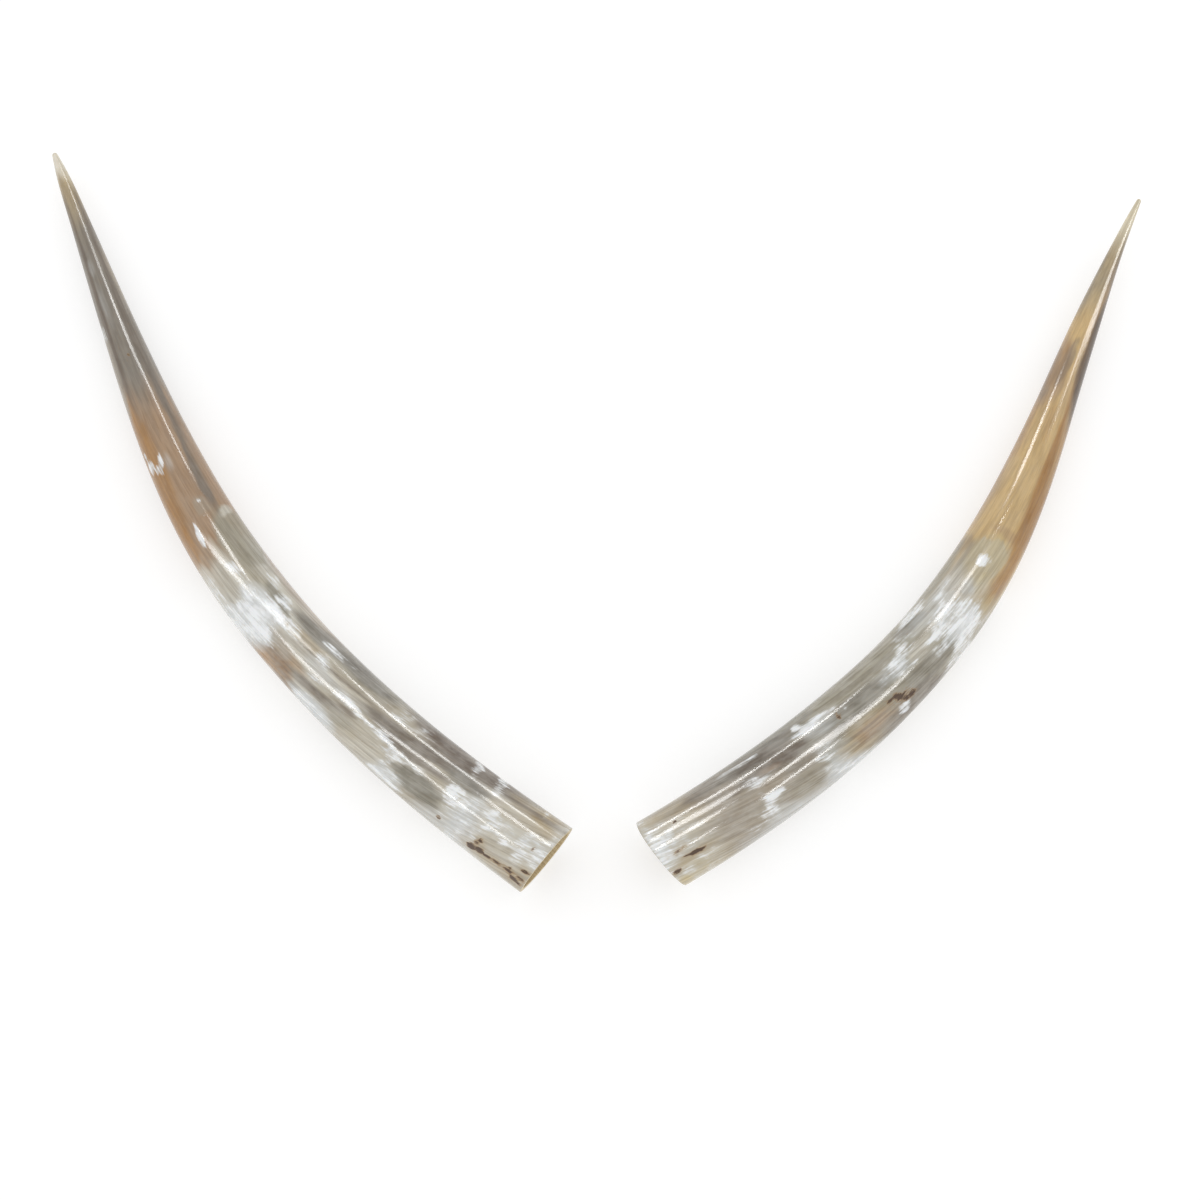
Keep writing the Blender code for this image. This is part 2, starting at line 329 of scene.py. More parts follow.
RIGHT_MARKS = (
    # streaky end with its flecks
    (0, 90, -1.2, -0.4, 0.05, "tan", 0.65, 0.5),
    (10, 90, -0.8, -0.66, 0.03, "smoke", 0.5, 0.6),
    (44, 94, -1.1, -0.52, 0.04, "umber", 0.85, 0.4),
    (56, 112, -0.6, -0.2, 0.05, "umber", 0.45, 0.5),
    (0, 60, -1.5, -0.9, 0, "sand", 0.7, 0.5),
    (-6, 2.4, -0.85, 0.55, 0, "milk", 0.75, 0.3),
    (12, 18, -0.45, 0.15, 0, "milk", 0.6, 0.6),
    (0, 10, -0.4, 0.22, 0, "milk", 0.8, 0.6),
    (4, 16, 0.15, 0.75, 0.12, "milk", 0.45, 0.7),
    (28, 34, 0.1, 0.9, 0.05, "milk", 0.42, 0.7),
    (0, 14, 0.7, 1.05, 0, "wheat", 0.9, 0.5),
    (0, 60, 0.55, 1.2, 0, "wheat", 0.35, 0.6),
    (8, 44, 0.28, 0.5, 0.04, "tan", 0.6, 0.5),
    (-4, 15, 0.46, 0.68, 0, "tan", 0.6, 0.5),
    (8, 24, 0.06, 0.26, 0, "tan", 0.45, 0.5),
    (22, 37, 0.35, 0.46, 0.04, "pit", 1, 0.4),
    (30, 40, 0.38, 0.44, 0, "pit", 0.8, 0.4),
    (13, 27, 0.34, 0.4, 0, "pit", 0.62, 0.5),
    (0, 8, 0.52, 0.62, 0, "pit", 0.95, 0.4),
    (2, 10, 0.53, 0.6, 0, "pit", 0.9, 0.4),
    (9, 23, 0.12, 0.21, -0.04, "pit", 0.54, 0.5),
    (24.5, 28, -0.55, -0.49, 0, "pit", 0.85, 0.4),
    # dark streaks of the upper side
    (78, 205, -0.96, -0.5, 0.06, "slate", 0.92, 0.35),
    (88, 176, -0.72, -0.56, 0.05, "bark", 0.45, 0.6),
    (96, 172, -1, -0.58, 0.05, "bark", 0.35, 0.4),
    (110, 180, -0.62, -0.46, 0.06, "bark", 0.35, 0.6),
    (146, 186, -1, -0.6, 0, "slate", 0.85, 0.4),
    (148, 172, -0.92, -0.7, 0, "bark", 0.4, 0.5),
    (70, 320, -1.3, -0.88, 0.02, "moss", 0.85, 0.3),
    (56, 256, -1.6, -0.86, 0, "olive", 0.85, 0.3),
    (78, 132, -0.88, -0.76, 0.1, "milk", 0.26, 0.6),
    (116, 128, -0.82, -0.74, 0.04, "milk", 0.85, 0.4),
    (176, 304, -0.96, -0.4, 0.02, "moss", 0.95, 0.4),
    (165, 178, -0.8, -0.64, 0.05, "milk", 0.85, 0.35),
    (166, 207, -0.65, -0.38, 0.04, "milk", 0.92, 0.4),
    (182, 196, -0.9, -0.75, 0, "slate", 0.5, 0.5),
    # clear brown window with its sharp far edge, and the grey beyond it
    (93, 175, -0.5, -0.13, 0.1, "umber", 0.95, 0.16),
    (116, 136, -0.38, -0.22, 0.06, "honey", 0.5, 0.5),
    (130, 174, -0.38, -0.14, 0.12, "bark", 0.4, 0.5),
    (175, 278, -0.42, 0.1, 0.04, "slate", 0.7, 0.3),
    (182, 262, -0.34, 0, 0, "olive", 0.45, 0.5),
    (209, 213, -0.34, -0.16, 0, "pit", 0.75, 0.4),
    (219, 223, -0.36, -0.28, 0, "milk", 0.6, 0.5),
    (88, 110, -0.42, -0.2, 0.14, "milk", 0.34, 0.6),
    (104, 128, -0.2, -0.06, 0, "milk", 0.72, 0.5),
    (96, 180, -0.14, 0.32, 0, "fawn", 0.85, 0.4),
    (138, 180, -0.14, 0.34, 0, "slate", 0.35, 0.5),
    (107, 116, -0.12, 0.9, 0, "milk", 0.6, 0.5),
    (112, 127, 0.12, 0.4, 0, "milk", 0.85, 0.45),
    (86, 112, 0.56, 0.95, 0, "milk", 0.36, 0.6),
    (122, 176, 0.24, 0.92, 0, "fawn", 0.85, 0.18),
    (126, 178, 0.26, 0.84, 0, "moss", 0.6, 0.4),
    (171, 188, 0.06, 0.46, 0.05, "milk", 0.85, 0.45),
    (174, 205, 0.48, 0.94, 0, "milk", 0.88, 0.5),
    (170, 216, 0.56, 1.1, 0.04, "frost", 0.8, 0.4),
    (170, 218, 0.58, 1.2, 0.04, "milk", 0.95, 0.5),
    (100, 134, 0.58, 0.98, 0, "frost", 0.6, 0.5),
    (60, 212, 0.84, 1.3, 0, "frost", 0.75, 0.5),
    (176, 207, -0.52, -0.18, 0.02, "frost", 0.65, 0.5),
    (176, 204, -0.1, 0.95, 0, "frost", 0.32, 0.5),
    (196, 262, 0.2, 0.92, 0.02, "tan", 0.85, 0.4),
    (214, 262, 0.4, 0.76, 0.05, "honey", 0.7, 0.5),
    (256, 350, 0.1, 0.8, 0.05, "moss", 0.85, 0.3),
    (276, 346, 0.3, 0.76, 0.05, "slate", 0.5, 0.4),
    (226, 314, 0.64, 1.15, 0, "umber", 0.85, 0.4),
    (254, 284, 0.32, 0.7, 0.28, "pit", 0.45, 0.5),
    (254, 263, 0.33, 0.42, 0, "pit", 0.85, 0.4),
    (261, 272, 0.34, 0.55, 0.08, "pit", 0.95, 0.4),
    (267, 274, 0.52, 0.68, 0.04, "pit", 0.95, 0.4),
    (273, 283, 0.58, 0.71, 0, "pit", 0.9, 0.4),
    (269, 277, 0.44, 0.51, 0, "pit", 0.75, 0.5),
    (257, 270, 0.66, 0.88, 0, "milk", 0.85, 0.45),
    (316, 352, 0.78, 1.15, 0, "milk", 0.48, 0.4),
    # clouds, then the jagged white flames
    (266, 306, -0.34, 0.14, 0.06, "frost", 0.35, 0.4),
    (266, 306, -0.34, 0.14, 0.06, "milk", 0.74, 0.4),
    (284, 299, -0.34, -0.04, 0.04, "milk", 0.85, 0.45),
    (301, 326, -0.72, -0.3, 0.12, "milk", 0.5, 0.5),
    (303, 346, -0.84, -0.52, 0.06, "slate", 0.85, 0.35),
    (316, 360, -1.05, -0.74, 0.1, "milk", 0.62, 0.5),
    (326, 425, -0.74, -0.2, 0, "frost", 0.55, 0.4),
    (346, 430, -1.02, -0.78, 0.04, "moss", 0.85, 0.35),
    (358, 374, -0.66, -0.44, 0.05, "milk", 0.66, 0.5),
    (376, 390, -0.74, -0.56, 0.05, "milk", 0.68, 0.5),
    (334, 352, -0.46, -0.3, 0, "milk", 0.6, 0.5),
    (300, 332, -0.18, 0.16, 0.06, "cream", 0.85, 0.4),
    (320, 345, -0.05, 0.16, 0.14, "milk", 0.9, 0.4),
    (338, 388, -0.3, 0.34, 0.14, "milk", 0.88, 0.35),
    (336, 381, 0.06, 0.4, 0.16, "milk", 0.95, 0.35),
    (338, 378, 0.16, 0.62, 0.08, "frost", 0.6, 0.35),
    (330, 382, 0.28, 0.62, 0.08, "milk", 1, 0.35),
    (340, 384, 0.54, 0.82, -0.05, "milk", 0.68, 0.4),
    (348, 378, 0.74, 0.98, -0.05, "milk", 0.34, 0.45),
    (346, 378, 0.88, 1.05, 0, "moss", 0.5, 0.5),
    # amber beyond the flames, up to the end of the hollow seen through the wall
    (380, 420, -0.34, 0.46, 0, "cream", 0.95, 0.35),
    (382, 404, -0.22, 0.2, 0, "frost", 0.5, 0.5),
    (392, 424, -0.1, 0.44, 0, "wheat", 0.35, 0.4),
    (394, 455, 0.5, 0.95, 0.05, "amber", 0.75, 0.35),
    (382, 402, 0.52, 0.95, 0, "wheat", 0.4, 0.5),
    (396, 440, -0.72, -0.3, 0, "moss", 0.5, 0.5),
    (412, 438, -1, -0.55, 0, "smoke", 0.5, 0.5),
    (410, 451.5, -0.5, 0.58, 0, "sand", 0.85, 0.1),
    (416, 446, -0.42, 0.46, 0, "sand", 0.35, 0.4),
    (402, 452, -0.55, 0.62, 0, "wheat", 0.45, 0.3),
    (416, 428, -0.24, 0.1, 0.05, "milk", 1, 0.4),
    (451, 462, -0.3, 0.8, 0.06, "honey", 0.45, 0.5),
    # the clear tan length
    (450, 640, -1.1, -0.78, 0, "honey", 0.5, 0.4),
    (430, 640, -1.5, -0.93, 0, "toffee", 0.45, 0.4),
    (526, 616, -1.1, -0.72, 0, "amber", 0.32, 0.5),
    (446, 630, 0.42, 0.78, 0.05, "amber", 0.9, 0.4),
    (470, 600, 0.46, 0.66, 0.05, "amber", 0.6, 0.5),
    (440, 524, 0.6, 1.3, 0, "amber", 0.95, 0.4),
    (440, 560, 0.48, 1, 0, "toffee", 0.55, 0.5),
    (520, 620, 0.74, 1.3, 0, "amber", 0.7, 0.4),
    (590, 672, -1.2, -0.1, 0.1, "honey", 0.8, 0.3),
    (606, 652, -1.2, -0.55, 0.1, "umber", 0.42, 0.2),
    (618, 668, -0.74, 0.02, 0.3, "umber", 0.42, 0.14),
    (616, 662, -0.95, -0.4, 0.14, "amber", 0.3, 0.4),
    (560, 605, -0.2, 0.12, 0, "amber", 0.35, 0.6),
    (570, 780, 0.5, 1.8, 0, "honey", 0.85, 0.4),
    # dark band along the right edge and underside: partly the horn's own dark colour, partly painted shade of
    # the far side
    (590, 730, 0.48, 1.3, 0, "bark", 1, 0.3),
    (600, 720, 0.44, 0.7, 0, "amber", 0.14, 0.5),
    (720, 800, 0.5, 1.1, 0, "umber", 0.6, 0.5),
    (700, 780, -1.1, -0.6, 0, "smoke", 0.5, 0.5),
    (730, 752, -0.5, 0.2, 0, "smoke", 0.25, 0.6),
)

# What each horn is painted with
PAINTING = {
    "horn_left": (LEFT_GROUND, LEFT_MILK, LEFT_MARKS),
    "horn_right": (RIGHT_GROUND, RIGHT_MILK, RIGHT_MARKS),
}
WOBBLE_ALONG = 8.0       # mm that the ends of a mark wander
WOBBLE_AROUND = 2.6      # mm that its sides wander
WOBBLE_LIMIT = 0.5       # and at most this share of the mark's own half size
PIT_WOBBLE = 0.4         # a fleck wanders by this share of it only
WANDERINGS = 6           # different wanderings, which the marks take in turn
SMALL_LUMPS = 0.5        # strength of the small lumps beside the large ones
# The wandering's large and small lumps: mm along the horn, across and up, and what seeds them
WANDER_ALONG = ((26.0, 7.0, 7.0), 31, (9.0, 3.0, 3.0), 200)
WANDER_AROUND = ((40.0, 9.0, 9.0), 57, (14.0, 4.0, 4.0), 300)
MILK_SOFTNESS = 0.25     # milk fades out more slowly than the clear colours
SQUARENESS = 2.2         # a mark with 2 would be an oval, and with more it is squarer
DRIFT_REACH = 1.3        # the drift goes on this far past a mark's ends, in half runs
GLOSS_VEIL = 0.04        # what the mirrored white room adds to every colour seen
DARKEST = 0.01           # and the least that is left of a colour without it
LEAN_FADE = 700.0        # mm from the base over which the lean of the places across dies out
# From above, a point on top of the horn shows further along than its section: shares of the radius
LEAN_ALONG = ((0.0, 400.0, 892.0), (0.106, 0.29, 0.42))
# How cloudy the horn is: shares of its length, then of full cloudiness
CLOUDINESS = ((0.0, 0.40, 0.52, 1.0), (1.0, 1.0, 0.25, 0.15))

# The side that lies on the floor has seeded marks, of the same kinds as on top
UNDERSIDE_MARKS = 34
UNDERSIDE_FIRST = -10.0             # mm from the base to the first place where one may begin
UNDERSIDE_LAST = 0.82               # share of the length to the last one
UNDERSIDE_RUN = (18.0, 70.0)        # mm that one is long
UNDERSIDE_ACROSS = (1.35, 2.65)     # where its middle lies across
UNDERSIDE_SPREAD = (0.12, 0.45)     # how far it reaches to both sides of its middle
UNDERSIDE_DRIFT = (-0.1, 0.1)
UNDERSIDE_LOOK = (0.75, 0.45)       # strength and softness
UNDERSIDE_CLOUDY = 0.48             # share of the length that has the kinds of the cloudy half
CLOUDY_KINDS = ("milk", "olive", "sand", "umber", "milk", "tan")
CLEAR_KINDS = ("smoke", "umber", "fawn")

# The bright lines along each horn: (width in mm, radiance, places), a place being (mm from the base,
# across). Each stretch between two places is the mirror image of one lamp.
HIGHLIGHTS = {
    "horn_left": (
        (1.4, 8, ((27, -0.13), (100, -0.14), (182, -0.11))),
        (1.9, 9, ((207, -0.05), (265, -0.12), (322, -0.21))),
        (2.2, 10, ((2, 0.36), (72, 0.33))),
        (1.0, 7, ((300, 0.25), (340, 0.09), (375, -0.04))),
        (1.5, 9, ((378, -0.05), (410, -0.18), (442, -0.33))),
        (1.3, 11, ((20, 0.59), (105, 0.54), (180, 0.48), (258, 0.46))),
        (1.2, 12, ((118, 0.19), (160, 0.13), (190, 0.05))),
        (1.4, 12, ((394, 0.11), (446, 0.17))),
        (1.2, 9, ((512, 0.33), (640, 0.29))),
        (1.2, 8, ((646, 0.28), (703, 0.16))),
        (1.2, 5, ((712, 0.15), (800, 0.27))),
        (1.0, 5, ((806, 0.27), (872, 0.26))),
    ),
    "horn_right": (
        (0.9, 15, ((2, -0.62), (100, -0.51), (165, -0.48), (200, -0.43), (234, -0.42))),
        (2.0, 11, ((2, -0.44), (82, -0.30))),
        (1.7, 12, ((2, -0.18), (62, -0.12))),
        (0.9, 13, ((22, 0.16), (52, 0.16))),
        (1.1, 14, ((104, 0.16), (187, 0.22))),
        (2.0, 13, ((114, -0.08), (176, -0.07))),
        (2.2, 9, ((176, -0.07), (206, 0.08))),
        (1.2, 13, ((204, 0.09), (246, 0.14), (284, 0.18))),
        (0.8, 9, ((208, 0.03), (246, 0.09), (274, 0.12))),
        (2.9, 8, ((330, -0.21), (418, -0.16))),
        (1.8, 40, ((457, -0.15), (460.2, -0.15))),
        (1.2, 11, ((508, -0.27), (562, -0.35))),
        (1.2, 13, ((570, -0.36), (612, -0.35))),
        (0.7, 5, ((566, 0.15), (598, 0.15))),
        (1.4, 8, ((645, 0.21), (690, 0.29))),
        (1.7, 7.2, ((690, 0.29), (722, 0.34))),
        (1.7, 8.5, ((722, 0.34), (770, 0.42))),
        (1.0, 8, ((770, 0.42), (825, 0.50))),
    ),
}
LAMP_REACH = 0.55        # from the horn to each lamp
LAMP_DIGITS = 3          # lamps are hung and cut to the millimetre
SEEN_ARC = 1.9           # radians from the top to either side that are searched for a place across
SEEN_STEPS = 1521        # angles that this search tries
NEAR = 0.0015            # step along the horn that gives its slope
NEAR_ANGLE = 0.01        # and the one around it, in radians
EDGE_LIMIT = 0.95        # a lamp gets no wider than for this place across

# What a dark fibre leaves of the colour under it, and a pale one
DARK_FIBRE = (0.72, 0.68, 0.63)
PALE_FIBRE = (1.14, 1.13, 1.11)

# The room and the view
WORLD_STRENGTH = 0.97    # how bright the white room is
TABLE_GLOW = 0.52        # light that comes up through the table
TABLE_REACH = 6.0        # from the middle of the table to its sides
TABLE_GAP = 0.0002       # from the table up to the horns
LENS, SENSOR = 75.0, 36.0    # mm
VIEW_TILT = math.radians(15.0)
VIEW_REACH = 2.408       # from the camera to the point on the table that it looks at
VIEW_CENTRE = (0.0054, -0.0854)
VIEW_END = 50.0          # nothing further off is seen
VIEW_PLACE = (
    VIEW_CENTRE[0],
    VIEW_CENTRE[1] - VIEW_REACH * math.sin(VIEW_TILT),
    VIEW_REACH * math.cos(VIEW_TILT),
)

# Kinds of node and the settings that recur
MATH, VECTOR, MAP_RANGE = "ShaderNodeMath", "ShaderNodeVectorMath", "ShaderNodeMapRange"
SPLIT, JOIN, NOISE = "ShaderNodeSeparateXYZ", "ShaderNodeCombineXYZ", "ShaderNodeTexNoise"
MIX, ATTRIBUTE, BUMP = "ShaderNodeMix", "ShaderNodeAttribute", "ShaderNodeBump"
NAMED = "GeometryNodeInputNamedAttribute"
ALL = slice(None)                                # every output of a node
SMOOTH = {"interpolation_type": "SMOOTHSTEP"}
COLOURS = {"data_type": "RGBA", "out": 2}        # a mix of colours: inputs 0, 6 and 7
VECTORS = {"data_type": "FLOAT_VECTOR"}          # an attribute of three numbers


def srgb(hex_colour):
    """Turn a hex colour as seen on a screen into linear red, green, blue."""
    values = [int(hex_colour[i : i + 2], 16) / 255.0 for i in (1, 3, 5)]
    return [v / 12.92 if v <= 0.04045 else ((v + 0.055) / 1.055) ** 2.4 for v in values]


def opaque(hex_colour):
    return (*srgb(hex_colour), 1.0)


def feed(tree, node, feeds):
    """Link a socket to an input of a node, or give the input its own value."""
    for key, value in feeds.items():
        if isinstance(value, bpy.types.NodeSocket):
            tree.links.new(value, node.inputs[key])
        else:
            node.inputs[key].default_value = value


def add(tree, kind, *values, feeds=None, out=0, **settings):
    """Add one node and return one of its outputs.

    Settings are its own properties, values feed its inputs in order, and feeds the ones it names.
    """
    made = tree.nodes.new(kind)
    for key, value in settings.items():
        setattr(made, key, value)
    feed(tree, made, dict(enumerate(values)) | (feeds or {}))
    return made.outputs[out]


def place_object(name, data):
    made = bpy.data.objects.new(name, data)
    bpy.context.scene.collection.objects.link(made)
    return made


def unit(vectors):
    return vectors / np.linalg.norm(vectors, axis=-1, keepdims=True)


def smooth_value(distance, places, values):
    """Read the smooth curve through the stations at an array of distances."""
    distance = np.asarray(distance, float)
    slopes = np.gradient(values, places)
    k = np.clip(np.searchsorted(places, distance, side="right") - 1, 0, len(places) - 2)
    span = places[k + 1] - places[k]
    t = (distance - places[k]) / span
    start = (2 * t**3 - 3 * t**2 + 1) * values[k] + (t**3 - 2 * t**2 + t) * span * slopes[k]
    end = (3 * t**2 - 2 * t**3) * values[k + 1] + (t**3 - t**2) * span * slopes[k + 1]
    return start + end


class CentreLine:
    """The line through the middle of a horn, worked out as it is for the solid."""

    def __init__(self, horn):
        self.horn = horn
        self.places, self.headings, self.widths = np.array(horn["stations"]).T
        self.length = self.places[-1]
        steps = int(round(self.length / HEADING_STEP))
        step = self.length / steps
        turns = self.heading((np.arange(steps) + 0.5) * step)
        start = np.array(horn["base_centre"])
        moves = np.stack([np.cos(turns), np.sin(turns)], axis=1) * step
        self.walk = np.vstack([start, start + np.cumsum(moves, axis=0)])
        self.along = np.linspace(0.0, self.length, steps + 1)

    def heading(self, distance):
        return np.radians(smooth_value(distance, self.places, self.headings))

    def half_width(self, distance):
        return smooth_value(distance, self.places, self.widths)

    def half_height(self, distance):
        share = distance / self.length
        return self.half_width(distance) * (OVAL_BASE + (1.0 - OVAL_BASE) * share)

    def lobe_turn(self, distance):
        return np.radians(self.horn["lobe_turn"] + LOBE_SPIRAL * distance / self.length)

    def lobe(self, angle, distance):
        """How much wider or narrower than the oval the section is in one direction."""
        return 1.0 + LOBE_HEIGHT * np.cos(LOBES * (angle - self.lobe_turn(distance)))

    def drop(self, distance):
        """How far the underside is below the centre, measured at the solid's own corners."""
        angles = 2.0 * math.pi * np.arange(CORNERS)[:, None] / CORNERS
        return self.half_height(distance) * (-np.sin(angles) * self.lobe(angles, distance)).max(axis=0)

    def point(self, distance):
        distance = np.atleast_1d(np.asarray(distance, float))
        x = np.interp(distance, self.along, self.walk[:, 0])
        y = np.interp(distance, self.along, self.walk[:, 1])
        rise = np.maximum(distance / self.length - LIFT_START, 0.0) / (1.0 - LIFT_START)
        z = self.drop(distance) + self.horn["tip_lift"] * rise**2
        return np.stack([x, y, z], axis=1)

    def axes(self, distance):
        """Directions along the horn, level to its left, and up across it."""
        distance = np.atleast_1d(np.asarray(distance, float))
        near = np.maximum(distance - HEADING_STEP, 0.0)
        far = np.minimum(distance + HEADING_STEP, self.length)
        along = unit(self.point(far) - self.point(near))
        left = unit(np.cross([0.0, 0.0, 1.0], along))
        return along, left, np.cross(along, left)

    def outside(self, distance, angle):
        """Points on the outside, at arrays of distances and of angles from the top to the right."""
        from_left = angle + 0.5 * math.pi
        lobe = self.lobe(from_left, distance)
        to_left = self.half_width(distance) * np.cos(from_left) * lobe
        to_up = self.half_height(distance) * np.sin(from_left) * lobe
        heading = self.heading(distance)
        offsets = [-np.sin(heading) * to_left, np.cos(heading) * to_left, to_up]
        return self.point(distance) + np.stack(offsets, axis=1)


def cut_normal(horn):
    """The direction that the sawn end faces."""
    heading, pitch = math.radians(horn["cut_heading"]), math.radians(horn["cut_pitch"])
    level = math.cos(pitch)
    return level * math.cos(heading), level * math.sin(heading), math.sin(pitch)


def section_rows(line):
    """List the sections from the tip, over the sawn rim, to the end of the hollow.

    A row is (distance, inset, scale, role).
    """
    rows = []
    tip_radius = line.widths[-1]
    body_length = line.length - tip_radius
    bend_distance, bend_inset = RIM_EDGE * RIM_BEND[0], RIM_EDGE * RIM_BEND[1]
    for i in range(TIP_ROWS, 0, -1):
        angle = 0.5 * math.pi * i / TIP_ROWS
        scale = 0.0 if i == TIP_ROWS else math.cos(angle)
        rows.append((body_length + tip_radius * math.sin(angle), 0.0, scale, OUTSIDE))
    for i in range(BODY_ROWS):
        share = i / BODY_ROWS
        rows.append((body_length * (1.0 - share) + RIM_EDGE * share, 0.0, 1.0, OUTSIDE))
    rows.append((bend_distance, bend_inset, 1.0, OUTSIDE))
    for inset in np.linspace(RIM_EDGE * RIM_FLAT, WALL - RIM_EDGE * RIM_FLAT, RIM_ROWS):
        rows.append((0.0, inset, 1.0, RIM))
    rows.append((bend_distance, WALL - bend_inset, 1.0, HOLLOW))
    for i in range(HOLLOW_ROWS + 1):
        share = math.sin(0.5 * math.pi * i / HOLLOW_ROWS)
        distance = max(line.horn["hollow_depth"] * share, RIM_EDGE)
        rows.append((distance, WALL, max(1.0 - share**HOLLOW_CURVE, 0.0) ** HOLLOW_BLUNTNESS, HOLLOW))
    return np.array(rows)


def row_points(name, line):
    """One point for each section, carrying all that the skin needs to know about it."""
    distance, inset, scale, role = section_rows(line).T
    inset = np.where(role < HOLLOW, inset + SKIN_INSET, inset)
    width = (line.half_width(distance) - inset) * scale
    height = (line.half_height(distance) - inset) * scale
    keep = np.maximum(1.0 - distance / CUT_FADE, 0.0)
    eased = (1.0 - np.exp(-distance / FIBRE_EASE)) / (1.0 - math.exp(-FIBRE_REACH / FIBRE_EASE))
    fibre_turn = np.radians(line.horn["fibre_turn"] * eased)
    along, left, up = line.axes(distance)
    facts = {
        "centre": line.point(distance),
        "left": left,
        "up": up,
        "size": np.stack([width, height, distance], axis=1),
        "turns": np.stack([line.lobe_turn(distance), fibre_turn, keep], axis=1),
        "role": np.stack([role, line.half_width(distance), np.zeros(len(role))], axis=1),
    }
    data = bpy.data.meshes.new(name)
    data.from_pydata([tuple(p) for p in facts["centre"]], [], [])
    for key, values in facts.items():
        layer = data.attributes.new("row_" + key, "FLOAT_VECTOR", "POINT")
        layer.data.foreach_set("vector", values.astype(np.float32).ravel())
    return place_object(name, data), len(distance)


def skin_tree():
    """Build the tree that skins a horn: a grid whose rows are the sections, rolled round them."""
    tree = bpy.data.node_groups.new("horn skin", "GeometryNodeTree")
    inputs = {
        "Geometry": ("Sections",),
        "Int": ("Section count", "Sides"),
        "Float": (
            "Lobe height", "Flute depth", "Flute width", "Flute length", "Wave depth", "Wave length", "Seed",
        ),
        "Vector": ("Base point", "Base direction", "Cut normal"),
        "Material": ("Outside finish", "Rim finish", "Hollow finish"),
    }
    for kind, names in inputs.items():
        for name in names:
            tree.interface.new_socket(name, in_out="INPUT", socket_type="NodeSocket" + kind)
    tree.interface.new_socket("Skin", in_out="OUTPUT", socket_type="NodeSocketGeometry")
    given = tree.nodes.new("NodeGroupInput").outputs

    # The grid is flat and one unit wide: its x tells the row, its y the way around.
    columns = add(tree, MATH, given["Sides"], 1.0, operation="ADD")
    skin = add(tree, "GeometryNodeMeshGrid", 1.0, 1.0, given["Section count"], columns)
    spot = add(tree, SPLIT, add(tree, "GeometryNodeInputPosition"), out=ALL)
    row = add(tree, MATH, spot[0], 0.5, operation="ADD")
    last_row = add(tree, MATH, given["Section count"], 1.0, operation="SUBTRACT")
    row = add(tree, MATH, row, last_row, operation="MULTIPLY")
    row = add(tree, MATH, row, operation="ROUND")
    around = add(tree, MATH, spot[1], 2.0 * math.pi, operation="MULTIPLY")

    def read(key):
        """Read one of the facts that the row's section carries."""
        value = add(tree, NAMED, "row_" + key, **VECTORS)
        feeds = {"Geometry": given["Sections"], "Value": value, "Index": row}
        return add(tree, "GeometryNodeSampleIndex", feeds=feeds, domain="POINT", **VECTORS)

    centre, left, up = read("centre"), read("left"), read("up")
    half_width, half_height, distance = add(tree, SPLIT, read("size"), out=ALL)
    lobe_turn, fibre_turn, keep = add(tree, SPLIT, read("turns"), out=ALL)
    role, radius, _ = add(tree, SPLIT, read("role"), out=ALL)

    def on_oval(angle):
        """Left and up from the centre, for an angle from the top to the right."""
        to_right = add(tree, MATH, half_width, add(tree, MATH, angle, operation="SINE"), operation="MULTIPLY")
        to_left = add(tree, MATH, to_right, -1.0, operation="MULTIPLY")
        cosine = add(tree, MATH, angle, operation="COSINE")
        return to_left, add(tree, MATH, half_height, cosine, operation="MULTIPLY")

    # The oval section with its three worn flats.
    lobe = add(tree, MATH, around, 0.5 * math.pi, operation="ADD")
    lobe = add(tree, MATH, lobe, lobe_turn, operation="SUBTRACT")
    lobe = add(tree, MATH, lobe, float(LOBES), operation="MULTIPLY")
    lobe = add(tree, MATH, lobe, operation="COSINE")
    lobe = add(tree, MATH, lobe, given["Lobe height"], 1.0, operation="MULTIPLY_ADD")
    to_left, to_up = on_oval(around)
    flat = add(tree, VECTOR, left, to_left, operation="MULTIPLY")
    flat = add(tree, VECTOR, up, to_up, flat, operation="MULTIPLY_ADD")
    rounded = add(tree, VECTOR, flat, lobe, centre, operation="MULTIPLY_ADD")

    # The horn laid out straight, with its fibres untwisted: distance, left, up.
    fibre = add(tree, MATH, around, fibre_turn, operation="SUBTRACT")
    straight = add(tree, JOIN, distance, *on_oval(fibre))

    def relief(length, width, depth, shift):
        """Slow noise, its lumps as long and as wide as given, from nothing to the depth."""
        lumps = add(tree, JOIN, length, width, width)
        feeds = {
            "Vector": add(tree, VECTOR, straight, lumps, operation="DIVIDE"),
            "W": add(tree, MATH, given["Seed"], shift, operation="ADD"),
            "Scale": 1.0,
            "Detail": 0.0,
        }
        noise = add(tree, NOISE, feeds=feeds, noise_dimensions="4D")
        return add(tree, MATH, noise, depth, operation="MULTIPLY")

    # Flutes and waves are only ever cut inwards, so the horn stays within its true outline.
    flutes = relief(given["Flute length"], given["Flute width"], given["Flute depth"], FLUTE_SHIFT)
    waves = relief(given["Wave length"], given["Wave length"], given["Wave depth"], WAVE_SHIFT)
    cut = add(tree, MATH, flutes, waves, operation="ADD")
    thickness = add(tree, MATH, radius, WIDEST, operation="DIVIDE")
    begun = add(tree, MAP_RANGE, distance, 0.0, FLUTE_START)
    outside = add(tree, MATH, role, OUTSIDE_LIMIT, operation="LESS_THAN")
    for share in (thickness, begun, outside):
        cut = add(tree, MATH, cut, share, operation="MULTIPLY")
    inward = add(tree, VECTOR, add(tree, VECTOR, flat, operation="NORMALIZE"), cut, operation="MULTIPLY")
    worn = add(tree, VECTOR, rounded, inward, operation="SUBTRACT")

